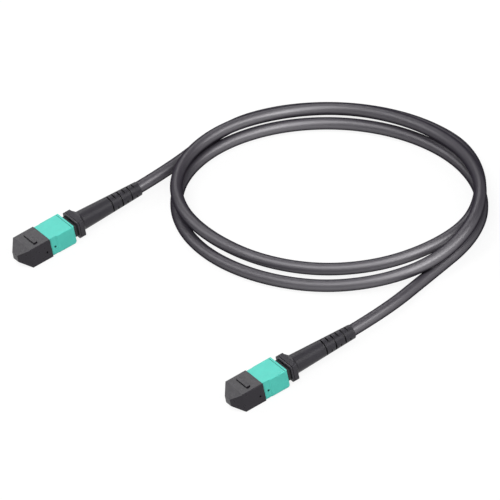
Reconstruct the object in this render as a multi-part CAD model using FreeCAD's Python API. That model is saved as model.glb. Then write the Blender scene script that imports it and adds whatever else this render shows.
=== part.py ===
import FreeCAD, Part
import math
import os

# A patch cable with a multi-fibre push-on connector on each end, both capped, laid in loose turns.
#
# Lengths are in millimetres. Both connectors lie flat with their noses towards -X and their boots towards
# +X. The origin is on the floor, midway between them. Inside a connector x runs back from the nose of the
# dust cap, and y and z start on the connector's axis.

# Cable
CABLE_D = 5.0

# Dust cap
CAP_L = 13.3
CAP_W = 12.4
CAP_H = 8.6
CAP_EDGE_R = 0.4
NOSE_L = 3.9
NOSE_W = 3.5
NOSE_H = 3.1
CAP_SPACE = 1.2
GRIP_W = 7.4
GRIP_L = 1.6
GRIP_H = 0.5
GRIP_FROM_BACK = 5.9
CAP_DIMPLE_D = 0.9
CAP_DIMPLE_FROM_BACK = 2.2
CAP_DIMPLE_DEPTH = 0.5
DIMPLE_DROP = 0.7

# Outer housing, the sleeve that slides back
SLEEVE_L = 11.55
SLEEVE_W = 11.9
SLEEVE_H = 8.2
SLEEVE_EDGE_R = 0.35
SLEEVE_STEP = 0.4
SLEEVE_STEP_FROM_FRONT = 2.8
SLEEVE_RAMP_L = 0.8
SLEEVE_BACK_R = 0.5
SLEEVE_CHAMFER = 1.0
LIP_L = 0.8
LIP_GROOVE_W = 0.2
LIP_GROOVE_DEPTH = 0.2
SLEEVE_HOLE_D = 1.0
SLEEVE_HOLE_FROM_FRONT = 2.0
SLEEVE_TRAVEL = 1.8

# Inner housing, the plug that enters an adapter
PLUG_FRONT = 5.6
PLUG_L = 18.8
PLUG_W = 9.4
PLUG_H = 5.2
PLUG_EDGE_R = 0.35
KEY_W = 2.6
KEY_H = 0.5
KEY_FROM_FRONT = 1.2
KEY_L = 12.0
LATCH_W = 3.0
LATCH_L = 1.5
LATCH_FROM_BACK = 0.9

# Ferrule and the pieces that move with it
FERRULE_PROUD = 0.6
FERRULE_L = 8.0
FERRULE_W = 6.4
FERRULE_H = 2.5
FLANGE_L = 2.0
FLANGE_W = 7.0
FLANGE_H = 3.0
GUIDE_HOLE_D = 0.7
GUIDE_HOLE_PITCH = 4.6
GLUE_WINDOW_L = 1.8
GLUE_WINDOW_FROM_FRONT = 3.4
KEEPER_L = 2.0
FERRULE_BOOT_L = 4.6
FERRULE_BOOT_IN = 2.8
FERRULE_BOOT_W = 3.5
FERRULE_BOOT_H = 1.5
RIBBON_W = 3.05
RIBBON_T = 0.3
FERRULE_TRAVEL = 0.8

# Springs
FERRULE_SPRING_L = 5.5
FERRULE_SPRING_W = 5.8
FERRULE_SPRING_H = 3.6
FERRULE_WIRE_D = 0.5
FERRULE_SPRING_TURNS = 3
SLEEVE_SPRING_D = 1.25
SLEEVE_WIRE_D = 0.24
SLEEVE_SPRING_TURNS = 4
POCKET_L = 5.5
POCKET_FROM_BACK = 2.5
POCKET_WALL = 0.6
LUG_L = 1.1
WIRE_SIDES = 4

# Spring push, the rear body with its barrel, and the crimp ring
NECK_SPARE = 0.2
COLLAR_INSET = 0.1
BARREL_D = 4.6
BARREL_BORE_D = 3.4
BARREL_L = 10.0
CRIMP_D = 6.0
CRIMP_L = 16.2
CRIMP_FROM_COLLAR = 1.3
JACKET_GRIP = 3.5

# Strain-relief boot
BOOT_L = 32.0
BOOT_FLANGE_W = 10.8
BOOT_FLANGE_H = 7.4
BOOT_LIP_L = 0.7
BOOT_GROOVE_L = 0.2
BOOT_GROOVE_DEPTH = 0.25
BOOT_BLOCK_L = 2.9
BOOT_SHOULDER_L = 1.0
BOOT_SHOULDER_W = 10.5
BOOT_SHOULDER_H = 8.2
BOOT_SHOULDER_R = 1.3
BOOT_EDGE_R = 0.8
BOOT_ROOT_D = 8.1
BOOT_TIP_D = 5.9
SLOT_W = 0.55
SLOT_COUNT = 6
SLOT_PITCH = 2.3
SLOT_FROM_BACK = 2.7
SIDE_SLOT_ANGLE = 156
TOP_SLOT_ANGLE = 120
SLOT_TILT = 25

# Clearances
SLIDE_CLEAR = 0.15
CAP_CLEAR = 0.1
FERRULE_CLEAR = 0.07
FIT_CLEAR = 0.05
SPRING_CLEAR = 0.2
SLEEVE_SPRING_CLEAR = 0.08

# Places of the connectors on the floor
CONNECTOR_SPREAD = 138.5
CONNECTOR_STAGGER = 8.6

# Turns of the cable: an oval, and how far one turn lies in front of the other
OVAL_CENTRE = (78.9, 14.7)
OVAL_LONG = 65.3
OVAL_SHORT = 48.7
OVAL_BEARING = -67.3
POINTS_PER_TURN = 16
FIRST_ANGLE = 0.0
LAST_ANGLE = 877.5
TURN_SHIFT = (-4.8, -8.6)
BACK_SHARE = 0.48
LEFT_SHARE = 0.73
CROSS_RISE = 5.6
RIDE_RISE = 3.5
LEAN = (0.17, -0.12)
STRAIGHT_OUT = 13.0
TAIL_B_BEND = (77.8, -59.2)
ARC_SHARE = 0.45

# Stretches of the turns, in degrees wound so far, where the cable climbs, comes down or moves across
OVER_TAIL = (296, 336)
OVER_INNER_TURN = (330, 372)
ONTO_BACK_TURNS = (385, 475)
OVER_LEFT = (488, 525)
DOWN_AT_LEFT = (588, 650)
OVER_FIRST_TURN = (655, 705)
DOWN_AT_BACK = (748, 805)
MOVE_BACK = (345, 450)
MOVE_LEFT = (475, 520)
MOVE_FRONT = (545, 650)

# Places along a connector, worked out from the sizes above
GRIP_X = CAP_L - GRIP_FROM_BACK
SLEEVE_FRONT = CAP_L + SLIDE_CLEAR
SLEEVE_BACK = SLEEVE_FRONT + SLEEVE_L
PLUG_BACK = PLUG_FRONT + PLUG_L
CAP_FLOOR = PLUG_FRONT - CAP_SPACE
FERRULE_FRONT = PLUG_FRONT - FERRULE_PROUD
FERRULE_BACK = FERRULE_FRONT + FERRULE_L
FLANGE_FRONT = FERRULE_BACK - FLANGE_L
KEEPER_BACK = FERRULE_BACK + KEEPER_L
TONGUE_FRONT = KEEPER_BACK + FERRULE_SPRING_L
POCKET_BACK = PLUG_BACK - POCKET_FROM_BACK
POCKET_FRONT = POCKET_BACK - POCKET_L
LUG_FRONT = POCKET_FRONT + FIT_CLEAR
LUG_BACK = LUG_FRONT + LUG_L
COLLAR_BACK = SLEEVE_BACK + SLEEVE_TRAVEL + NECK_SPARE
BARREL_BACK = COLLAR_BACK + BARREL_L
CRIMP_FRONT = COLLAR_BACK + CRIMP_FROM_COLLAR
CRIMP_BACK = CRIMP_FRONT + CRIMP_L
JACKET_END = CRIMP_BACK - JACKET_GRIP
BOOT_BACK = COLLAR_BACK + BOOT_L
BLOCK_BACK = COLLAR_BACK + BOOT_BLOCK_L
SHOULDER_BACK = BLOCK_BACK + BOOT_SHOULDER_L

# Sections that several pieces share
SPRING_BAY_W = FERRULE_SPRING_W + 2 * SPRING_CLEAR
SPRING_BAY_H = FERRULE_SPRING_H + 2 * SPRING_CLEAR
POCKET_FLOOR = SPRING_BAY_W / 2 + POCKET_WALL
POCKET_H = SLEEVE_SPRING_D + 2 * SLEEVE_SPRING_CLEAR
SLEEVE_SPRING_Y = POCKET_FLOOR + SLEEVE_SPRING_CLEAR + SLEEVE_SPRING_D / 2
SPRING_GROOVE_Y = SLEEVE_SPRING_Y + SLEEVE_SPRING_D / 2 + SLEEVE_SPRING_CLEAR
KEY_TOP = PLUG_H / 2 + KEY_H
AXIS_H = CAP_H / 2

AXIS = FreeCAD.Vector(1, 0, 0)
CENTRE = FreeCAD.Vector(0, 0, 0)


def vector(x, y, z):
    return FreeCAD.Vector(x, y, z)


def block(front, back, width, height, y=0.0, z=0.0):
    """A box along the axis between two places, centred on y and z."""
    corner = vector(front, y - width / 2, z - height / 2)
    return Part.makeBox(back - front, width, height, corner)


def slab(front, back, half_width, low, high):
    """A box along the axis, centred across it, between two heights."""
    return Part.makeBox(back - front, 2 * half_width, high - low, vector(front, -half_width, low))


def rod(front, back, diameter, y=0.0, z=0.0):
    return Part.makeCylinder(diameter / 2, back - front, vector(front, y, z), AXIS)


def rounded_section(x, width, height, radius):
    """A closed rectangle with round corners, across the axis at x."""
    flat_y = width / 2 - radius
    flat_z = height / 2 - radius
    diagonal = radius * math.sqrt(0.5)
    edges = []
    for side in (-1, 1):
        across = side * width / 2
        level = side * height / 2
        edges.append(Part.makeLine(vector(x, across, -flat_z), vector(x, across, flat_z)))
        edges.append(Part.makeLine(vector(x, -flat_y, level), vector(x, flat_y, level)))
        for end in (-1, 1):
            bend = vector(x, side * (flat_y + diagonal), end * (flat_z + diagonal))
            leave = vector(x, side * flat_y, end * height / 2)
            edges.append(Part.Arc(vector(x, across, end * flat_z), bend, leave).toShape())
    return Part.Wire(Part.__sortEdges__(edges))


def rounded_block(front, back, width, height, radius):
    face = Part.Face(rounded_section(front, width, height, radius))
    return face.extrude(vector(back - front, 0, 0))


def prism(points, width):
    """A side outline in x and z, extruded across the axis."""
    outline = [vector(x, -width / 2, z) for x, z in points]
    face = Part.Face(Part.makePolygon(outline + outline[:1]))
    return face.extrude(vector(0, width, 0))


def side_holes(x, width, diameter, depth):
    """A round hole or recess in each side, a little under mid-height."""
    tools = []
    for side in (-1, 1):
        start = vector(x, side * (width / 2 - depth), -DIMPLE_DROP)
        tools.append(Part.makeCylinder(diameter / 2, 2 * depth, start, vector(0, side, 0)))
    return tools


def plug_space(front, back, clearance):
    """The room that the plug and its key need, with a clearance all round."""
    body = block(front, back, PLUG_W + 2 * clearance, PLUG_H + 2 * clearance)
    key = slab(front, back, KEY_W / 2 + clearance, 0, KEY_TOP + clearance)
    return body.fuse(key)


def cap_nose():
    """The cap's pyramid front, from its small flat tip to the full section."""
    tip_w = NOSE_W / 2
    tip_h = NOSE_H / 2
    base_w = CAP_W / 2
    base_h = CAP_H / 2
    nose = Part.makeWedge(-tip_w, 0, -tip_h, -base_h, -base_w, tip_w, NOSE_L, tip_h, base_h, base_w)
    nose.rotate(CENTRE, vector(0, 0, 1), -90)
    return nose.common(rounded_block(0, NOSE_L, CAP_W, CAP_H, CAP_EDGE_R))


def dust_cap():
    body = rounded_block(NOSE_L, CAP_L, CAP_W, CAP_H, CAP_EDGE_R)
    top = CAP_H / 2
    grip = slab(GRIP_X, GRIP_X + GRIP_L, GRIP_W / 2, top - GRIP_H, top + GRIP_H)
    cap = body.fuse([cap_nose(), grip]).removeSplitter()
    dimples = side_holes(CAP_L - CAP_DIMPLE_FROM_BACK, CAP_W, CAP_DIMPLE_D, CAP_DIMPLE_DEPTH)
    return cap.cut([plug_space(CAP_FLOOR, CAP_L, CAP_CLEAR)] + dimples)


def sleeve_plan():
    """The sleeve seen from above: a narrow front, a ramp, straight sides and round rear corners."""
    half = SLEEVE_W / 2
    step_x = SLEEVE_FRONT + SLEEVE_STEP_FROM_FRONT
    ramp_x = step_x + SLEEVE_RAMP_L
    turn_x = SLEEVE_BACK - SLEEVE_BACK_R
    narrow = half - SLEEVE_STEP
    inner = half - SLEEVE_BACK_R
    low = -SLEEVE_H / 2
    diagonal = SLEEVE_BACK_R * math.sqrt(0.5)
    edges = []
    for side in (1, -1):
        path = [
            vector(SLEEVE_FRONT, side * narrow, low),
            vector(step_x, side * narrow, low),
            vector(ramp_x, side * half, low),
            vector(turn_x, side * half, low),
        ]
        edges += [Part.makeLine(a, b) for a, b in zip(path, path[1:])]
        bend = vector(turn_x + diagonal, side * (inner + diagonal), low)
        edges.append(Part.Arc(path[-1], bend, vector(SLEEVE_BACK, side * inner, low)).toShape())
    edges.append(Part.makeLine(vector(SLEEVE_FRONT, narrow, low), vector(SLEEVE_FRONT, -narrow, low)))
    edges.append(Part.makeLine(vector(SLEEVE_BACK, inner, low), vector(SLEEVE_BACK, -inner, low)))
    return Part.Face(Part.Wire(Part.__sortEdges__(edges)))


def outer_housing():
    plan = sleeve_plan().extrude(vector(0, 0, SLEEVE_H))
    section = rounded_block(SLEEVE_FRONT, SLEEVE_BACK, SLEEVE_W, SLEEVE_H, SLEEVE_EDGE_R)
    body = plan.common(section)
    top = SLEEVE_H / 2
    lip_x = SLEEVE_BACK - LIP_L
    tools = [slab(lip_x - LIP_GROOVE_W, lip_x, SLEEVE_W, top - LIP_GROOVE_DEPTH, SLEEVE_H)]
    corner = [
        (SLEEVE_BACK - SLEEVE_CHAMFER, -top),
        (SLEEVE_BACK, -top),
        (SLEEVE_BACK, SLEEVE_CHAMFER - top),
    ]
    tools.append(prism(corner, SLEEVE_W))
    tools.append(plug_space(SLEEVE_FRONT, SLEEVE_BACK, SLIDE_CLEAR))
    tools.append(block(LUG_BACK, SLEEVE_BACK, 2 * SPRING_GROOVE_Y, POCKET_H))
    front_w = SLEEVE_W - 2 * SLEEVE_STEP
    hole_x = SLEEVE_FRONT + SLEEVE_HOLE_FROM_FRONT
    tools += side_holes(hole_x, front_w, SLEEVE_HOLE_D, (front_w - PLUG_W) / 2)
    body = body.cut(tools)
    lug_inner = POCKET_FLOOR + SLIDE_CLEAR
    lug_w = SPRING_GROOVE_Y - lug_inner
    lug_h = POCKET_H - 2 * SLIDE_CLEAR
    lugs = [block(LUG_FRONT, LUG_BACK, lug_w, lug_h, side * (lug_inner + lug_w / 2)) for side in (-1, 1)]
    return body.fuse(lugs).removeSplitter()


def latch(extra):
    """The hooks of the spring push, or with some extra room the windows that they snap into."""
    back = PLUG_BACK - LATCH_FROM_BACK + extra
    front = back - LATCH_L - 2 * extra
    return block(front, back, LATCH_W + 2 * extra, PLUG_H)


def inner_housing():
    body = rounded_block(PLUG_FRONT, PLUG_BACK, PLUG_W, PLUG_H, PLUG_EDGE_R)
    key_front = PLUG_FRONT + KEY_FROM_FRONT
    body = body.fuse(slab(key_front, key_front + KEY_L, KEY_W / 2, 0, KEY_TOP)).removeSplitter()
    stop = FLANGE_FRONT - FIT_CLEAR
    bay_end = KEEPER_BACK + FERRULE_TRAVEL + SPRING_CLEAR
    tools = [
        block(PLUG_FRONT, stop, FERRULE_W + 2 * FERRULE_CLEAR, FERRULE_H + 2 * FERRULE_CLEAR),
        block(stop, bay_end, FLANGE_W + 2 * FERRULE_CLEAR, FLANGE_H + 2 * FERRULE_CLEAR),
        block(KEEPER_BACK, PLUG_BACK, SPRING_BAY_W, SPRING_BAY_H),
        latch(FIT_CLEAR),
    ]
    pocket_w = PLUG_W / 2 - POCKET_FLOOR
    for side in (-1, 1):
        pocket_y = side * (POCKET_FLOOR + pocket_w / 2)
        tools.append(block(POCKET_FRONT, POCKET_BACK, pocket_w, POCKET_H, pocket_y))
    return body.cut(tools)


def ferrule():
    body = block(FERRULE_FRONT, FERRULE_BACK, FERRULE_W, FERRULE_H)
    body = body.fuse(block(FLANGE_FRONT, FERRULE_BACK, FLANGE_W, FLANGE_H)).removeSplitter()
    boot_w = FERRULE_BOOT_W + 2 * FIT_CLEAR
    boot_h = FERRULE_BOOT_H + 2 * FIT_CLEAR
    window = FERRULE_FRONT + GLUE_WINDOW_FROM_FRONT
    tools = [
        block(FERRULE_FRONT, FERRULE_BACK, RIBBON_W + 2 * FIT_CLEAR, RIBBON_T + 2 * FIT_CLEAR),
        block(FERRULE_BACK - FERRULE_BOOT_IN - FIT_CLEAR, FERRULE_BACK, boot_w, boot_h),
        slab(window, window + GLUE_WINDOW_L, RIBBON_W / 2, 0, FERRULE_H),
    ]
    for side in (-1, 1):
        tools.append(rod(FERRULE_FRONT, FERRULE_BACK, GUIDE_HOLE_D, side * GUIDE_HOLE_PITCH / 2))
    return body.cut(tools)


def pin_keeper():
    body = block(FERRULE_BACK, KEEPER_BACK, FLANGE_W, FLANGE_H)
    boot_w = FERRULE_BOOT_W + 2 * FIT_CLEAR
    boot_h = FERRULE_BOOT_H + 2 * FIT_CLEAR
    return body.cut(block(FERRULE_BACK, KEEPER_BACK, boot_w, boot_h))


def ferrule_boot():
    front = FERRULE_BACK - FERRULE_BOOT_IN
    back = front + FERRULE_BOOT_L
    body = block(front, back, FERRULE_BOOT_W, FERRULE_BOOT_H)
    return body.cut(block(front, back, RIBBON_W + 2 * FIT_CLEAR, RIBBON_T + 2 * FIT_CLEAR))


def fibre_ribbon():
    return block(FERRULE_FRONT, JACKET_END, RIBBON_W, RIBBON_T)


def coil_spring(front, back, width, height, wire_d, turns, y=0.0):
    """A coil between two seats, round or oval, of many-sided wire."""
    coil_r = (width - wire_d) / 2
    flatten = (height - wire_d) / (width - wire_d)
    coil_l = back - front - wire_d
    pitch = coil_l / turns
    path = Part.makeHelix(pitch, coil_l, coil_r)
    slope = math.atan2(pitch, 2 * math.pi * coil_r)
    rim = []
    for corner in range(WIRE_SIDES + 1):
        angle = 2 * math.pi * corner / WIRE_SIDES
        out = wire_d / 2 * math.cos(angle)
        up = wire_d / 2 * math.sin(angle)
        rim.append(vector(coil_r + out, -up * math.sin(slope), up * math.cos(slope)))
    coil = Part.Wire(path.Edges).makePipeShell([Part.makePolygon(rim)], True, True)
    flat = FreeCAD.Matrix()
    flat.scale(1.0, flatten, 1.0)
    coil = coil.transformGeometry(flat)
    coil.rotate(CENTRE, vector(1, 1, 1), 120)
    coil.translate(vector(front + wire_d / 2, y, 0))
    return coil


def ferrule_spring():
    front = KEEPER_BACK + FIT_CLEAR
    back = TONGUE_FRONT - FIT_CLEAR
    width = FERRULE_SPRING_W
    return coil_spring(front, back, width, FERRULE_SPRING_H, FERRULE_WIRE_D, FERRULE_SPRING_TURNS)


def sleeve_spring(side):
    front = LUG_BACK + FIT_CLEAR
    back = POCKET_BACK - FIT_CLEAR
    size = SLEEVE_SPRING_D
    return coil_spring(front, back, size, size, SLEEVE_WIRE_D, SLEEVE_SPRING_TURNS, side * SLEEVE_SPRING_Y)


def spring_push():
    tongue_w = SPRING_BAY_W - 2 * FIT_CLEAR
    tongue_h = SPRING_BAY_H - 2 * FIT_CLEAR
    tongue = block(TONGUE_FRONT, PLUG_BACK, tongue_w, tongue_h)
    collar_w = PLUG_W - 2 * COLLAR_INSET
    collar_h = PLUG_H - 2 * COLLAR_INSET
    collar = rounded_block(PLUG_BACK, COLLAR_BACK, collar_w, collar_h, PLUG_EDGE_R)
    barrel = rod(COLLAR_BACK, BARREL_BACK, BARREL_D)
    hooks = latch(0).common(block(TONGUE_FRONT, PLUG_BACK, PLUG_W, collar_h))
    body = tongue.fuse([collar, barrel, hooks]).removeSplitter()
    return body.cut(rod(TONGUE_FRONT, BARREL_BACK, BARREL_BORE_D))


def crimp_ring():
    body = rod(CRIMP_FRONT, CRIMP_BACK, CRIMP_D)
    barrel_room = rod(CRIMP_FRONT, BARREL_BACK + FIT_CLEAR, BARREL_D + 2 * FIT_CLEAR)
    jacket_room = rod(BARREL_BACK + FIT_CLEAR, CRIMP_BACK, CABLE_D + 2 * FIT_CLEAR)
    return body.cut([barrel_room, jacket_room])


def boot_slot(x, angle, elevation):
    """One slot through the boot's wall, centred a given number of degrees above the near side."""
    sector = Part.makeCylinder(BOOT_ROOT_D, SLOT_W, CENTRE, vector(0, 0, 1), angle)
    sector.rotate(CENTRE, vector(0, 0, 1), -angle / 2)
    sector.rotate(CENTRE, vector(0, 1, 0), 90)
    sector.rotate(CENTRE, AXIS, -90 - elevation)
    sector.translate(vector(x, 0, 0))
    return sector


def boot_slots():
    """Pairs of opposite slots, every second pair turned a quarter round."""
    tools = []
    for index in range(SLOT_COUNT):
        x = BOOT_BACK - SLOT_FROM_BACK - index * SLOT_PITCH
        angle = SIDE_SLOT_ANGLE if index % 2 else TOP_SLOT_ANGLE
        tilt = SLOT_TILT + 90 * ((index + 1) % 2)
        tools += [boot_slot(x, angle, tilt), boot_slot(x, angle, tilt + 180)]
    return tools


def strain_relief_boot():
    lip_back = COLLAR_BACK + BOOT_LIP_L
    groove_back = lip_back + BOOT_GROOVE_L
    inset = 2 * BOOT_GROOVE_DEPTH
    lip = rounded_block(COLLAR_BACK, lip_back, BOOT_FLANGE_W, BOOT_FLANGE_H, BOOT_EDGE_R)
    groove = rounded_block(lip_back, groove_back, BOOT_FLANGE_W - inset, BOOT_FLANGE_H - inset, BOOT_EDGE_R)
    sections = [
        rounded_section(groove_back, BOOT_FLANGE_W, BOOT_FLANGE_H, BOOT_EDGE_R),
        rounded_section(BLOCK_BACK, BOOT_SHOULDER_W, BOOT_SHOULDER_H, BOOT_SHOULDER_R),
    ]
    shoulder = Part.makeLoft(sections, True, True)
    root_r = BOOT_ROOT_D / 2
    tip_r = BOOT_TIP_D / 2
    neck = Part.makeCone(root_r, tip_r, BOOT_BACK - BLOCK_BACK, vector(BLOCK_BACK, 0, 0), AXIS)
    fade = Part.makeCone(BOOT_SHOULDER_W / 2, root_r, BOOT_SHOULDER_L, vector(BLOCK_BACK, 0, 0), AXIS)
    fade = fade.common(block(BLOCK_BACK, SHOULDER_BACK, BOOT_SHOULDER_W, BOOT_SHOULDER_H))
    body = lip.fuse([groove, shoulder, neck, fade]).removeSplitter()
    crimp_end = CRIMP_BACK + FIT_CLEAR
    crimp_room = rod(COLLAR_BACK, crimp_end, CRIMP_D + 2 * FIT_CLEAR)
    cable_room = rod(crimp_end, BOOT_BACK, CABLE_D + 2 * FIT_CLEAR)
    return body.cut([crimp_room, cable_room] + boot_slots())


def ease(angle, stretch):
    """A smooth step from 0 to 1 along a stretch of the turns."""
    start, end = stretch
    share = min(max((angle - start) / (end - start), 0.0), 1.0)
    return (1 - math.cos(math.pi * share)) / 2


def rise(angle):
    """How far the cable is lifted off the floor to pass over itself, by the angle wound so far."""
    crossings = ease(angle, OVER_TAIL) + ease(angle, OVER_INNER_TURN) + ease(angle, OVER_FIRST_TURN)
    descents = ease(angle, DOWN_AT_LEFT) + ease(angle, DOWN_AT_BACK)
    onto_back_turns = (RIDE_RISE - 2 * CROSS_RISE) * ease(angle, ONTO_BACK_TURNS)
    over_left = (CROSS_RISE - RIDE_RISE) * ease(angle, OVER_LEFT)
    return CROSS_RISE * (crossings - descents) + onto_back_turns + over_left


def forward(angle):
    """Share of the shift between turns: the first turn lies in front, the later ones move back."""
    to_back = (BACK_SHARE - 1) * ease(angle, MOVE_BACK)
    to_left = (LEFT_SHARE - BACK_SHARE) * ease(angle, MOVE_LEFT)
    to_front = -LEFT_SHARE * ease(angle, MOVE_FRONT)
    return 1 + to_back + to_left + to_front


def turn_point(angle):
    """A corner of the route on the turns, outside the oval so that the runs touch it."""
    up = rise(angle)
    ahead = forward(angle)
    outside = 1 / math.cos(math.pi / POINTS_PER_TURN)
    bearing = math.radians(OVAL_BEARING)
    turn = math.radians(angle)
    along = OVAL_LONG * outside * math.cos(turn)
    across = OVAL_SHORT * outside * math.sin(turn)
    x = OVAL_CENTRE[0] + along * math.cos(bearing) - across * math.sin(bearing)
    y = OVAL_CENTRE[1] + along * math.sin(bearing) + across * math.cos(bearing)
    x += ahead * TURN_SHIFT[0] + up * LEAN[0]
    y += ahead * TURN_SHIFT[1] + up * LEAN[1]
    return vector(x, y, CABLE_D / 2 + up)


def straight_exit(place):
    """The cut end of the jacket inside a connector, and the end of its straight way out of the boot."""
    return [
        vector(place.x + JACKET_END, place.y, AXIS_H),
        vector(place.x + BOOT_BACK + STRAIGHT_OUT, place.y, AXIS_H),
    ]


def tube(points, first, last):
    """The cable from the run before one point of the route to the run after another."""
    start = points[0] if first == 1 else (points[first - 1] + points[first]) * 0.5
    end = points[-1] if last == len(points) - 2 else (points[last] + points[last + 1]) * 0.5
    edges = []
    radii = []
    here = start
    for index in range(first, last + 1):
        corner = points[index]
        back = points[index - 1] - corner
        ahead = points[index + 1] - corner
        reach = ARC_SHARE * min(back.Length, ahead.Length)
        back.normalize()
        ahead.normalize()
        half = (math.pi - back.getAngle(ahead)) / 2
        radius = reach / math.tan(half)
        inward = back + ahead
        inward.normalize()
        enter = corner + back * reach
        leave = corner + ahead * reach
        middle = corner + inward * (radius / math.cos(half) - radius)
        edges.append(Part.LineSegment(here, enter).toShape())
        edges.append(Part.Arc(enter, middle, leave).toShape())
        radii.append(round(radius))
        here = leave
    edges.append(Part.LineSegment(here, end).toShape())
    path = Part.Wire(edges)
    rim = Part.Wire(Part.makeCircle(CABLE_D / 2, start, points[first] - start))
    solid = path.makePipe(Part.Face(rim))
    filled = solid.Volume / path.Length / (math.pi * CABLE_D ** 2 / 4)
    print("cable length", round(path.Length, 1), "volume against section and length", round(filled, 4))
    print("cable radii", radii)
    return solid


def cable_nodes(place_a, place_b):
    tail_b = straight_exit(place_b) + [vector(*TAIL_B_BEND, CABLE_D / 2)]
    step = 360 / POINTS_PER_TURN
    count = round((LAST_ANGLE - FIRST_ANGLE) / step) + 1
    turns = [turn_point(FIRST_ANGLE + index * step) for index in range(count)]
    points = tail_b + turns + straight_exit(place_a)[::-1]
    first_turn = len(tail_b)
    last_turn = first_turn + count - 1
    return {
        "cable_tail_b": tube(points, 1, first_turn - 1),
        "cable_turns": tube(points, first_turn, last_turn),
        "cable_tail_a": tube(points, last_turn + 1, len(points) - 2),
    }


def connector_nodes():
    return {
        "dust_cap": dust_cap(),
        "outer_housing": outer_housing(),
        "inner_housing": inner_housing(),
        "ferrule": ferrule(),
        "pin_keeper": pin_keeper(),
        "ferrule_boot": ferrule_boot(),
        "fibre_ribbon": fibre_ribbon(),
        "ferrule_spring": ferrule_spring(),
        "sleeve_spring_near": sleeve_spring(-1),
        "sleeve_spring_far": sleeve_spring(1),
        "spring_push": spring_push(),
        "crimp_ring": crimp_ring(),
        "strain_relief_boot": strain_relief_boot(),
    }


def main():
    os.makedirs("parts", exist_ok=True)
    first_x = -(BOOT_BACK + CONNECTOR_STAGGER) / 2
    place_a = vector(first_x, CONNECTOR_SPREAD / 2, AXIS_H)
    place_b = vector(first_x + CONNECTOR_STAGGER, -CONNECTOR_SPREAD / 2, AXIS_H)
    nodes = cable_nodes(place_a, place_b)
    for name, shape in connector_nodes().items():
        for end, place in (("a", place_a), ("b", place_b)):
            nodes[f"{name}_{end}"] = shape.translated(place)
    for name, shape in nodes.items():
        shape.exportStep(f"parts/{name}.step")
        print(name, shape.isValid(), len(shape.Solids), round(shape.Volume, 2))


main()
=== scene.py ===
import math

import bpy
from mathutils import Matrix, Vector


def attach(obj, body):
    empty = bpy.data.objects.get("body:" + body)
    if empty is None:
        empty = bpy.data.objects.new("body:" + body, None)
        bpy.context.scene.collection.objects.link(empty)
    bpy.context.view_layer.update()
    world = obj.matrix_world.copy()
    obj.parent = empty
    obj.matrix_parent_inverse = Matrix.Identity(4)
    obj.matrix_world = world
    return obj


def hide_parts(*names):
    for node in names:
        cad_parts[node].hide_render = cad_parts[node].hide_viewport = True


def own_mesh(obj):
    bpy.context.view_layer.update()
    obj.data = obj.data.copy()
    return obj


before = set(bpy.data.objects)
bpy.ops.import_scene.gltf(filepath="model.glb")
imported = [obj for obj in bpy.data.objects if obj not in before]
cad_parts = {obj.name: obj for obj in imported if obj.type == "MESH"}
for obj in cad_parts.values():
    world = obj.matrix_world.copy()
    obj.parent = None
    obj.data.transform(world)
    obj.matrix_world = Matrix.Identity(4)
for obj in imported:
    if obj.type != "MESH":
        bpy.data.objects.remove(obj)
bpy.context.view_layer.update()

MM = 0.001
ENDS = ("a", "b")

# The photograph's view: a long lens, a little turned about its own axis
PHOTO_PX = 500
PX_PER_M = 2550
LENS = 1500
SENSOR = 36
SEES_TO = 100
LOOK_AT = Vector((0.0371, 0.0084, 0.0))
VIEW_RIGHT = Vector((0.815, -0.553, -0.172))
VIEW_UP = Vector((0.457, 0.432, 0.777))

# The studio: azimuth, elevation, strength and spread of each soft lamp
LAMPS = {
    "front": (-116, 42, 1.75, 36),
    "front_right": (-62, 37, 1.05, 34),
    "top": (-170, 68, 1.1, 40),
    "rear_right": (64, 37, 0.66, 30),
    "rear_left": (122, 33, 0.72, 28),
}

# The sky: white close to the horizon, as the sine of the height above it, and dim further up
AMBIENT = 0.08
HORIZON_TOP = 0.12

# The floor, in metres: grey in the light that it sends up to the part, and white to the eye by its own glow
FLOOR_SIZE = 30
FLOOR_LEVEL = -0.0002
FLOOR_GREY = 0.2
FLOOR_GLOW_SHARE = 0.85

# Uneven surfaces: how fine each noise is, per metre, its levels of detail, and the middle range that is used
CLOUD_SCALE = 260
SHEEN_SCALE = 700
GRAIN_SCALE = 4000
SOFT_GRAIN_SCALE = 3000
STREAK_SCALE = 900
FIBRE_SHEEN_SCALE = 900
GLASS_CLOUD_SCALE = 2000
GLASS_SHEEN_SCALE = 4000
NOISE_DETAIL = 3.0
GRAIN_DETAIL = 2.0
NOISE_LOW = 0.3
NOISE_HIGH = 0.7

# Relief, rounded edges, and painted shade in slots, grooves and where parts meet: depths and distances in
# millimetres
RELIEF_STRENGTH = 0.6
GRAIN_DEPTH = 0.02
JACKET_GRAIN_DEPTH = 0.001
FIBRE_GRAIN_DEPTH = 0.004
STREAK_DEPTH = 0.005
EDGE_RADIUS = 0.1
EDGE_SAMPLES = 6
# How far the painted shade in hollows looks for nearby surfaces, and with how many rays
SHADE_REACH = 1.0
SHADE_SAMPLES = 8

# Plastics and rubbers: colour, roughness, gloss, and by how much the colour is cloudy
PLASTICS = {
    "cap_plastic": ((0.012, 0.0095, 0.015), 0.3, 0.31, 0.06),
    "aqua_plastic": ((0.094, 0.575, 0.485), 0.45, 0.2, 0.03),
    "plug_plastic": ((0.02, 0.02, 0.022), 0.4, 0.3, 0.06),
    "push_plastic": ((0.02, 0.02, 0.022), 0.45, 0.3, 0.06),
    "ferrule_polymer": ((0.03, 0.03, 0.034), 0.3, 0.3, 0.06),
    "ferrule_rubber": ((0.6, 0.58, 0.52), 0.6, 0.3, 0.06),
    "boot_rubber": ((0.036, 0.034, 0.04), 0.4, 0.2, 0.06),
}
PLASTIC_ROUGHNESS_SPREAD = 0.04

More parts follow.
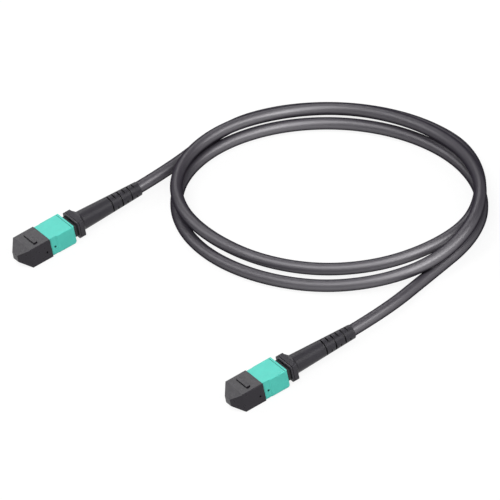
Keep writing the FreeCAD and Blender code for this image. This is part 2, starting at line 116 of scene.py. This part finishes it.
# Metals: colour, roughness, and how the streaks are squeezed along x, y and z
METALS = {
    "crimp_metal": ((0.6, 0.58, 0.5), 0.3, (1, 5, 5)),
    "spring_steel": ((0.6, 0.6, 0.6), 0.28, (6, 1, 1)),
}
METAL_ROUGHNESS_SPREAD = 0.08
STREAK_DARK = 0.85
STREAK_LIGHT = 1.08

# The jacket, whose gloss fades with how far its surface has turned away: 0 facing the eye, 1 at the rim
JACKET_COLOUR = (0.036, 0.032, 0.041)
JACKET_CONTRAST = 0.06
JACKET_ROUGHNESS = (0.44, 0.5)
JACKET_GLOSS = 1.0
JACKET_GLOSS_TINT = (0.99, 0.97, 1.0)
JACKET_IOR = 1.8
GLOSS_FADES_FROM = 0.0
GLOSS_GONE_AT = 0.6

# The cable and its route, as in the part's source, in millimetres and in degrees along the turns
CABLE_D = 5.0
AXIS_H = 4.3
FIRST_X = -33.8
CONNECTOR_STAGGER = 8.6
CONNECTOR_SPREAD = 138.5
JACKET_END = 41.0
BOOT_BACK = 59.0
STRAIGHT_OUT = 13.0
TAIL_B_BEND = (77.8, -59.2)
OVAL_CENTRE = (78.9, 14.7)
OVAL_LONG = 65.3
OVAL_SHORT = 48.7
OVAL_BEARING = -67.3
POINTS_PER_TURN = 16
FIRST_ANGLE = 0.0
LAST_ANGLE = 877.5
TURN_SHIFT = (-4.8, -8.6)
BACK_SHARE = 0.48
LEFT_SHARE = 0.73
CROSS_RISE = 5.6
RIDE_RISE = 3.5
LEAN = (0.17, -0.12)
OVER_TAIL = (296, 336)
OVER_INNER_TURN = (330, 372)
ONTO_BACK_TURNS = (385, 475)
OVER_LEFT = (488, 525)
DOWN_AT_LEFT = (588, 650)
OVER_FIRST_TURN = (655, 705)
DOWN_AT_BACK = (748, 805)
MOVE_BACK = (345, 450)
MOVE_LEFT = (475, 520)
MOVE_FRONT = (545, 650)

# Small shifts of that route on the floor, in millimetres, to follow the photograph: of tail b's bend, and at
# some angles of the turns, each fading out over the reach in degrees to both sides
TAIL_B_NUDGE = (0.1, -1.2)
NUDGES = (
    (300, (1.0, -0.8)),
    (350, (-2.1, -3.8)),
    (420, (-4.0, -0.2)),
    (660, (1.6, 0.0)),
    (710, (-0.7, -3.9)),
    (780, (-0.2, 3.5)),
)
NUDGE_REACH = 60

# How finely the cord is drawn: the order of its curve, steps between points, and roundness
CORD_ORDER = 3
CORD_STEPS_PER_POINT = 10
CORD_ROUNDNESS = 7

# Small pieces inside a connector, in millimetres back from the nose of its cap, as in the part's source
FERRULE_FACE = 5.0
FIBRE_PLATE_BACK = 8.2
RIBBON_FRONT = 8.3
FIBRE_COUNT = 12
FIBRE_PITCH = 0.25
GLASS_D = 0.125
FIBRE_PROUD = 0.004
FIBRE_PLATE_W = 3.12
FIBRE_PLATE_H = 0.38
FIBRE_SIDES = 12
FERRULE_SPRING = {"front": 15.05, "back": 20.45, "width": 5.8, "height": 3.6, "wire": 0.5, "turns": 5}
SLEEVE_SPRING = {"front": 17.6, "back": 21.85, "width": 1.25, "height": 1.25, "wire": 0.2, "turns": 9}
SLEEVE_SPRING_Y = 4.405
CLOSED_TURNS = 2
STEPS_PER_TURN = 28
WIRE_SIDES = 10

# The looks of the fibres, with the twelve colours that number them in a ribbon
FIBRE_ROUGHNESS = (0.26, 0.36)
GLASS_ROUGHNESS = (0.08, 0.16)
GLASS_DARK = (0.72, 0.78, 0.8)
GLASS_LIGHT = (0.86, 0.9, 0.92)
FIBRE_COLOURS = (
    (0.02, 0.13, 0.62),
    (0.85, 0.25, 0.02),
    (0.02, 0.4, 0.08),
    (0.2, 0.08, 0.03),
    (0.25, 0.27, 0.3),
    (0.85, 0.85, 0.82),
    (0.65, 0.02, 0.02),
    (0.02, 0.02, 0.02),
    (0.85, 0.65, 0.03),
    (0.25, 0.05, 0.4),
    (0.85, 0.35, 0.42),
    (0.05, 0.6, 0.58),
)

# Where the nose of each connector's cap is
PLACES = {
    "a": Vector((FIRST_X, CONNECTOR_SPREAD / 2, AXIS_H)),
    "b": Vector((FIRST_X + CONNECTOR_STAGGER, -CONNECTOR_SPREAD / 2, AXIS_H)),
}


def ease(angle, stretch):
    """A smooth step from 0 to 1 along a stretch of the turns."""
    start, end = stretch
    share = min(max((angle - start) / (end - start), 0.0), 1.0)
    return (1 - math.cos(math.pi * share)) / 2


def rise(angle):
    """How far the cable is lifted off the floor to pass over itself."""
    crossings = ease(angle, OVER_TAIL) + ease(angle, OVER_INNER_TURN) + ease(angle, OVER_FIRST_TURN)
    descents = ease(angle, DOWN_AT_LEFT) + ease(angle, DOWN_AT_BACK)
    onto_back_turns = (RIDE_RISE - 2 * CROSS_RISE) * ease(angle, ONTO_BACK_TURNS)
    over_left = (CROSS_RISE - RIDE_RISE) * ease(angle, OVER_LEFT)
    return CROSS_RISE * (crossings - descents) + onto_back_turns + over_left


def forward(angle):
    """Share of the shift between turns: the first turn lies in front, the later ones move back."""
    to_back = (BACK_SHARE - 1) * ease(angle, MOVE_BACK)
    to_left = (LEFT_SHARE - BACK_SHARE) * ease(angle, MOVE_LEFT)
    to_front = -LEFT_SHARE * ease(angle, MOVE_FRONT)
    return 1 + to_back + to_left + to_front


def nudge(angle):
    """The small shift that brings a point of the turns onto the photograph's line."""
    shift = Vector((0, 0, 0))
    for middle, (x, y) in NUDGES:
        share = min(abs(angle - middle) / NUDGE_REACH, 1.0)
        shift += Vector((x, y, 0)) * (1 + math.cos(math.pi * share)) / 2
    return shift


def turn_point(angle):
    """One point of the turns, a little outside the oval that the smooth line then follows."""
    up = rise(angle)
    ahead = forward(angle)
    outside = 1 / math.cos(math.pi / POINTS_PER_TURN)
    bearing = math.radians(OVAL_BEARING)
    turn = math.radians(angle)
    along = OVAL_LONG * outside * math.cos(turn)
    across = OVAL_SHORT * outside * math.sin(turn)
    x = OVAL_CENTRE[0] + along * math.cos(bearing) - across * math.sin(bearing)
    y = OVAL_CENTRE[1] + along * math.sin(bearing) + across * math.cos(bearing)
    x += ahead * TURN_SHIFT[0] + up * LEAN[0]
    y += ahead * TURN_SHIFT[1] + up * LEAN[1]
    return Vector((x, y, CABLE_D / 2 + up)) + nudge(angle)


def straight_exit(place):
    """Two points that lead the cable straight out of the back of a boot."""
    return [
        Vector((place.x + JACKET_END, place.y, AXIS_H)),
        Vector((place.x + BOOT_BACK + STRAIGHT_OUT, place.y, AXIS_H)),
    ]


def route():
    """The points of the cable's line, from its end in connector b to its end in connector a."""
    step = 360 / POINTS_PER_TURN
    count = round((LAST_ANGLE - FIRST_ANGLE) / step) + 1
    turns = [turn_point(FIRST_ANGLE + index * step) for index in range(count)]
    tail_b_bend = Vector((*TAIL_B_BEND, CABLE_D / 2)) + Vector((*TAIL_B_NUDGE, 0))
    return straight_exit(PLACES["b"]) + [tail_b_bend] + turns + straight_exit(PLACES["a"])[::-1]


class Nodes:
    """Shorthand for building one material's nodes."""

    def __init__(self, name):
        self.material = bpy.data.materials.new(name)
        self.material.use_nodes = True
        self.tree = self.material.node_tree
        self.shader = self.tree.nodes["Principled BSDF"]
        self.place = self.add("ShaderNodeTexCoord").outputs["Object"]

    def add(self, kind, **values):
        node = self.tree.nodes.new(kind)
        for key, value in values.items():
            setattr(node, key, value)
        return node

    def link(self, source, target):
        self.tree.links.new(source, target)

    def noise(self, scale, detail=NOISE_DETAIL, stretch=None):
        node = self.add("ShaderNodeTexNoise")
        node.inputs["Scale"].default_value = scale
        node.inputs["Detail"].default_value = detail
        source = self.place
        if stretch:
            mapping = self.add("ShaderNodeMapping")
            mapping.inputs["Scale"].default_value = stretch
            self.link(source, mapping.inputs["Vector"])
            source = mapping.outputs["Vector"]
        self.link(source, node.inputs["Vector"])
        return node.outputs["Fac"]

    def span(self, source, low, high):
        """The source's middle range, moved to run from low to high."""
        node = self.add("ShaderNodeMapRange")
        node.inputs["From Min"].default_value = NOISE_LOW
        node.inputs["From Max"].default_value = NOISE_HIGH
        node.inputs["To Min"].default_value = low
        node.inputs["To Max"].default_value = high
        self.link(source, node.inputs["Value"])
        return node.outputs["Result"]

    def between(self, source, dark, light):
        node = self.add("ShaderNodeMix", data_type="RGBA")
        node.inputs["A"].default_value = (*dark, 1)
        node.inputs["B"].default_value = (*light, 1)
        self.link(self.span(source, 0, 1), node.inputs["Factor"])
        return node.outputs["Result"]

    def painted_shade(self, colour):
        """Painted shade: darkens a colour in slots, grooves and where parts meet, by how little of the
        surroundings is open.
        """
        open_share = self.add("ShaderNodeAmbientOcclusion", samples=SHADE_SAMPLES)
        open_share.inputs["Distance"].default_value = SHADE_REACH * MM
        node = self.add("ShaderNodeMix", data_type="RGBA", blend_type="MULTIPLY")
        node.inputs["Factor"].default_value = 1.0
        self.link(colour, node.inputs["A"])
        self.link(open_share.outputs["Color"], node.inputs["B"])
        return node.outputs["Result"]

    def bump(self, source, depth, soft_edges=False):
        """A fine relief on the surface, and maybe edges that catch the light as if a little round."""
        node = self.add("ShaderNodeBump")
        node.inputs["Strength"].default_value = RELIEF_STRENGTH
        node.inputs["Distance"].default_value = depth * MM
        self.link(source, node.inputs["Height"])
        if soft_edges:
            edge = self.add("ShaderNodeBevel", samples=EDGE_SAMPLES)
            edge.inputs["Radius"].default_value = EDGE_RADIUS * MM
            self.link(edge.outputs["Normal"], node.inputs["Normal"])
        self.link(node.outputs["Normal"], self.shader.inputs["Normal"])

    def cloudy(self, colour, contrast):
        """A base colour that is a little uneven, with painted shade in slots and grooves where little light
        comes in.
        """
        dark = shade(colour, 1 - contrast)
        light = shade(colour, 1 + contrast)
        uneven = self.between(self.noise(CLOUD_SCALE), dark, light)
        # The painted shade is multiplied onto the uneven colour
        self.link(self.painted_shade(uneven), self.shader.inputs["Base Color"])

    def rough(self, source, low, high):
        self.link(self.span(source, low, high), self.shader.inputs["Roughness"])


def shade(colour, factor):
    return tuple(channel * factor for channel in colour)


def plastic(name):
    """Moulded plastic or rubber: cloudy colour with painted shade in its hollows, a fine eroded grain, and
    uneven gloss.
    """
    colour, roughness, gloss, contrast = PLASTICS[name]
    spread = PLASTIC_ROUGHNESS_SPREAD
    made = Nodes(name)
    made.cloudy(colour, contrast)
    made.rough(made.noise(SHEEN_SCALE), roughness - spread, roughness + spread)
    made.bump(made.noise(GRAIN_SCALE, GRAIN_DETAIL), GRAIN_DEPTH, soft_edges=True)
    made.shader.inputs["Specular IOR Level"].default_value = gloss
    return made.material


def jacket_plastic():
    """The cable's jacket: soft and fine-grained, so its gloss fades where it turns away."""
    made = Nodes("jacket")
    shader = made.shader
    # Its colour is also darkened where strands touch each other and the floor: painted shade
    made.cloudy(JACKET_COLOUR, JACKET_CONTRAST)
    made.rough(made.noise(SHEEN_SCALE), *JACKET_ROUGHNESS)
    shader.inputs["IOR"].default_value = JACKET_IOR
    shader.inputs["Specular Tint"].default_value = (*JACKET_GLOSS_TINT, 1)
    turned = made.add("ShaderNodeLayerWeight")
    gloss = made.add("ShaderNodeMapRange", interpolation_type="SMOOTHSTEP")
    gloss.inputs["From Min"].default_value = GLOSS_FADES_FROM
    gloss.inputs["From Max"].default_value = GLOSS_GONE_AT
    gloss.inputs["To Min"].default_value = JACKET_GLOSS
    gloss.inputs["To Max"].default_value = 0.0
    made.link(turned.outputs["Facing"], gloss.inputs["Value"])
    made.link(gloss.outputs["Result"], shader.inputs["Specular IOR Level"])
    made.bump(made.noise(SOFT_GRAIN_SCALE, GRAIN_DETAIL), JACKET_GRAIN_DEPTH)
    return made.material


def metal(name):
    """Drawn or turned metal, with streaks along one direction."""
    colour, roughness, stretch = METALS[name]
    spread = METAL_ROUGHNESS_SPREAD
    made = Nodes(name)
    streak = made.noise(STREAK_SCALE, stretch=stretch)
    streaky = made.between(streak, shade(colour, STREAK_DARK), shade(colour, STREAK_LIGHT))
    made.link(streaky, made.shader.inputs["Base Color"])
    made.rough(streak, roughness - spread, roughness + spread)
    made.bump(streak, STREAK_DEPTH)
    made.shader.inputs["Metallic"].default_value = 1.0
    return made.material


def ribbon_coating():
    """One colour per fibre, by its place across the ribbon."""
    made = Nodes("fibre_coating")
    axes = made.add("ShaderNodeSeparateXYZ")
    made.link(made.place, axes.inputs["Vector"])
    half = FIBRE_COUNT * FIBRE_PITCH / 2 * MM
    share = made.add("ShaderNodeMapRange")
    share.inputs["From Min"].default_value = -half
    share.inputs["From Max"].default_value = half
    made.link(axes.outputs["Y"], share.inputs["Value"])
    ramp = made.add("ShaderNodeValToRGB")
    ramp.color_ramp.interpolation = "CONSTANT"
    stops = ramp.color_ramp.elements
    stops.remove(stops[1])
    for index, colour in enumerate(FIBRE_COLOURS):
        stop = stops[0] if index == 0 else stops.new(index / FIBRE_COUNT)
        stop.color = (*colour, 1)
    made.link(share.outputs["Result"], ramp.inputs["Fac"])
    made.link(ramp.outputs["Color"], made.shader.inputs["Base Color"])
    made.rough(made.noise(FIBRE_SHEEN_SCALE), *FIBRE_ROUGHNESS)
    made.bump(made.noise(SOFT_GRAIN_SCALE, GRAIN_DETAIL), FIBRE_GRAIN_DEPTH)
    return made.material


def glass():
    """The polished ends of the fibres."""
    made = Nodes("fibre_glass")
    pale = made.between(made.noise(GLASS_CLOUD_SCALE), GLASS_DARK, GLASS_LIGHT)
    made.link(pale, made.shader.inputs["Base Color"])
    made.rough(made.noise(GLASS_SHEEN_SCALE), *GLASS_ROUGHNESS)
    return made.material


def dress_nodes(ferrule_polymer):
    """Gives the part's own solids their finishes, the same at both ends."""
    finishes = {
        "dust_cap": plastic("cap_plastic"),
        "outer_housing": plastic("aqua_plastic"),
        "inner_housing": plastic("plug_plastic"),
        "spring_push": plastic("push_plastic"),
        "ferrule": ferrule_polymer,
        "pin_keeper": ferrule_polymer,
        "ferrule_boot": plastic("ferrule_rubber"),
        "crimp_ring": metal("crimp_metal"),
        "strain_relief_boot": plastic("boot_rubber"),
    }
    for name, material in finishes.items():
        for end in ENDS:
            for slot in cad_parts[f"{name}_{end}"].material_slots:
                slot.material = material


def add_piece(name, vertices, faces, materials, place, body):
    """A mesh in millimetres, set at a place in the shared frame, that rides a body."""
    mesh = bpy.data.meshes.new(name)
    mesh.from_pydata([Vector(vertex) * MM for vertex in vertices], [], faces)
    for material in materials:
        mesh.materials.append(material)
    piece = bpy.data.objects.new(name, mesh)
    piece.location = place * MM
    bpy.context.scene.collection.objects.link(piece)
    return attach(piece, body)


def round_bars(centres, diameter, front, back, sides):
    """Thin round bars along x, closed at both ends."""
    vertices = []
    faces = []
    for y in centres:
        base = len(vertices)
        for step in range(sides):
            turn = 2 * math.pi * step / sides
            across = y + diameter / 2 * math.cos(turn)
            level = diameter / 2 * math.sin(turn)
            vertices += [(front, across, level), (back, across, level)]
        for step in range(sides):
            here = base + 2 * step
            after = base + 2 * ((step + 1) % sides)
            faces.append((here, after, after + 1, here + 1))
        faces.append([base + 2 * step for step in reversed(range(sides))])
        faces.append([base + 2 * step + 1 for step in range(sides)])
    return vertices, faces


def coil(front, back, width, height, wire, turns):
    """A coil spring of round wire along x, ending at x = 0, with its end turns closed."""
    vertices = []
    faces = []
    open_turns = turns - CLOSED_TURNS
    pitch = (back - front - (CLOSED_TURNS + 1) * wire) / open_turns
    steps = turns * STEPS_PER_TURN
    for step in range(steps + 1):
        wound = step / STEPS_PER_TURN
        opened = min(max(wound - CLOSED_TURNS / 2, 0), open_turns)
        x = front - back + wire / 2 + opened * pitch + (wound - opened) * wire
        turn = 2 * math.pi * wound
        y = (width - wire) / 2 * math.cos(turn)
        z = (height - wire) / 2 * math.sin(turn)
        outward = Vector((0, math.cos(turn) * (height - wire), math.sin(turn) * (width - wire))).normalized()
        for corner in range(WIRE_SIDES):
            angle = 2 * math.pi * corner / WIRE_SIDES
            out = outward * (wire / 2 * math.cos(angle))
            vertices.append((x + wire / 2 * math.sin(angle), y + out.y, z + out.z))
    for step in range(steps):
        for corner in range(WIRE_SIDES):
            here = step * WIRE_SIDES + corner
            beside = step * WIRE_SIDES + (corner + 1) % WIRE_SIDES
            faces.append((here, beside, beside + WIRE_SIDES, here + WIRE_SIDES))
    faces.append(list(reversed(range(WIRE_SIDES))))
    faces.append([steps * WIRE_SIDES + corner for corner in range(WIRE_SIDES)])
    return vertices, faces


def make_spring(name, end, sizes, y, material):
    """One spring of a connector, set so that its coil ends at its back."""
    vertices, faces = coil(**sizes)
    place = PLACES[end] + Vector((sizes["back"], y, 0))
    piece = add_piece(f"{name}_wire_{end}", vertices, faces, [material], place, "cable")
    piece.data.shade_smooth()
    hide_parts(f"{name}_{end}")
    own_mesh(piece)


def make_springs():
    steel = metal("spring_steel")
    for end in ENDS:
        make_spring("ferrule_spring", end, FERRULE_SPRING, 0, steel)
        for name, side in (("sleeve_spring_near", -1), ("sleeve_spring_far", 1)):
            y = side * SLEEVE_SPRING_Y
            make_spring(name, end, SLEEVE_SPRING, y, steel)


def make_fibres(ferrule_polymer):
    """The ribbon of coloured fibres, and their polished ends in the face of the ferrule."""
    coating = ribbon_coating()
    ends = glass()
    middle = (FIBRE_COUNT - 1) / 2
    rows = [(index - middle) * FIBRE_PITCH for index in range(FIBRE_COUNT)]
    half_w = FIBRE_PLATE_W / 2
    half_h = FIBRE_PLATE_H / 2
    for end in ENDS:
        vertices, faces = round_bars(rows, FIBRE_PITCH, RIBBON_FRONT, JACKET_END, FIBRE_SIDES)
        ribbon = add_piece(f"ribbon_{end}", vertices, faces, [coating], PLACES[end], "cable")
        ribbon.data.shade_smooth()
        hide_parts(f"fibre_ribbon_{end}")
        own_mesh(ribbon)
        vertices, faces = round_bars(rows, GLASS_D, FERRULE_FACE, FIBRE_PLATE_BACK, FIBRE_SIDES)
        bars = len(faces)
        base = len(vertices)
        for x in (FERRULE_FACE + FIBRE_PROUD, FIBRE_PLATE_BACK):
            vertices += [(x, -half_w, -half_h), (x, half_w, -half_h)]
            vertices += [(x, half_w, half_h), (x, -half_w, half_h)]
        for corner in range(4):
            beside = (corner + 1) % 4
            faces.append((base + corner, base + beside, base + 4 + beside, base + 4 + corner))
        faces += [(base + 3, base + 2, base + 1, base), (base + 4, base + 5, base + 6, base + 7)]
        finishes = [ends, ferrule_polymer]
        plate = add_piece(f"fibre_ends_{end}", vertices, faces, finishes, PLACES[end], f"ferrule_{end}")
        for polygon in plate.data.polygons[bars:]:
            polygon.material_index = 1


def make_cable():
    """The jacketed cable as one cord, from the one boot to the other."""
    curve = bpy.data.curves.new("cable", "CURVE")
    curve.dimensions = "3D"
    curve.bevel_depth = CABLE_D / 2 * MM
    curve.bevel_resolution = CORD_ROUNDNESS
    curve.resolution_u = CORD_STEPS_PER_POINT
    curve.use_fill_caps = True
    points = route()
    spline = curve.splines.new("NURBS")
    spline.points.add(len(points) - 1)
    for target, point in zip(spline.points, points):
        target.co = (*(point * MM), 1)
    spline.order_u = CORD_ORDER
    spline.use_endpoint_u = True
    curve.materials.append(jacket_plastic())
    cable = bpy.data.objects.new("cable_run", curve)
    bpy.context.scene.collection.objects.link(cable)
    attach(cable, "cable")
    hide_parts("cable_tail_a", "cable_turns", "cable_tail_b")


def make_camera():
    back = VIEW_RIGHT.cross(VIEW_UP).normalized()
    up = back.cross(VIEW_RIGHT).normalized()
    right = up.cross(back)
    data = bpy.data.cameras.new("camera")
    data.lens = LENS
    data.sensor_width = SENSOR
    data.clip_end = SEES_TO
    camera = bpy.data.objects.new("camera", data)
    distance = LENS / SENSOR * PHOTO_PX / PX_PER_M
    turn = Matrix((right, up, back)).transposed().to_4x4()
    camera.matrix_world = Matrix.Translation(LOOK_AT + back * distance) @ turn
    bpy.context.scene.collection.objects.link(camera)
    bpy.context.scene.camera = camera


def seen_directly(tree):
    """1 for rays from the camera, or mirrored or refracted on their way from it."""
    path = tree.nodes.new("ShaderNodeLightPath")
    total = path.outputs["Is Camera Ray"]
    for name in ("Is Glossy Ray", "Is Transmission Ray"):
        larger = tree.nodes.new("ShaderNodeMath")
        larger.operation = "MAXIMUM"
        tree.links.new(total, larger.inputs[0])
        tree.links.new(path.outputs[name], larger.inputs[1])
        total = larger.outputs["Value"]
    return total


def make_floor():
    bpy.ops.mesh.primitive_plane_add(size=FLOOR_SIZE, location=(0, 0, FLOOR_LEVEL))
    floor = bpy.context.object
    floor.name = "floor"
    material = bpy.data.materials.new("pale_floor")
    material.use_nodes = True
    tree = material.node_tree
    tree.nodes.clear()
    output = tree.nodes.new("ShaderNodeOutputMaterial")
    dull = tree.nodes.new("ShaderNodeBsdfDiffuse")
    dull.inputs["Color"].default_value = (FLOOR_GREY, FLOOR_GREY, FLOOR_GREY, 1)
    pale = tree.nodes.new("ShaderNodeBsdfDiffuse")
    pale.inputs["Color"].default_value = (1, 1, 1, 1)
    glow = tree.nodes.new("ShaderNodeEmission")
    bright = tree.nodes.new("ShaderNodeMixShader")
    bright.inputs["Fac"].default_value = FLOOR_GLOW_SHARE
    tree.links.new(pale.outputs[0], bright.inputs[1])
    tree.links.new(glow.outputs[0], bright.inputs[2])
    choice = tree.nodes.new("ShaderNodeMixShader")
    tree.links.new(seen_directly(tree), choice.inputs["Fac"])
    tree.links.new(dull.outputs[0], choice.inputs[1])
    tree.links.new(bright.outputs[0], choice.inputs[2])
    tree.links.new(choice.outputs[0], output.inputs["Surface"])
    floor.data.materials.append(material)


def make_light():
    world = bpy.data.worlds.new("studio")
    bpy.context.scene.world = world
    world.use_nodes = True
    tree = world.node_tree
    place = tree.nodes.new("ShaderNodeTexCoord")
    axes = tree.nodes.new("ShaderNodeSeparateXYZ")
    tree.links.new(place.outputs["Generated"], axes.inputs["Vector"])
    level = tree.nodes.new("ShaderNodeMapRange")
    level.inputs["From Min"].default_value = HORIZON_TOP / 2
    level.inputs["From Max"].default_value = HORIZON_TOP
    level.inputs["To Min"].default_value = 1.0
    level.inputs["To Max"].default_value = AMBIENT
    tree.links.new(axes.outputs["Z"], level.inputs["Value"])
    sky = tree.nodes["Background"]
    sky.inputs["Color"].default_value = (1, 1, 1, 1)
    tree.links.new(level.outputs["Result"], sky.inputs["Strength"])
    for name, (azimuth, elevation, strength, spread) in LAMPS.items():
        data = bpy.data.lights.new(name, "SUN")
        data.energy = strength
        data.angle = math.radians(spread)
        lamp = bpy.data.objects.new(name, data)
        around = math.radians(azimuth)
        direction = Vector((math.cos(around), math.sin(around), math.tan(math.radians(elevation))))
        lamp.rotation_euler = direction.to_track_quat("Z", "Y").to_euler()
        bpy.context.scene.collection.objects.link(lamp)


make_camera()
make_cable()
polymer = plastic("ferrule_polymer")
dress_nodes(polymer)
make_springs()
make_fibres(polymer)
make_floor()
make_light()
bpy.context.scene.view_settings.view_transform = "Standard"
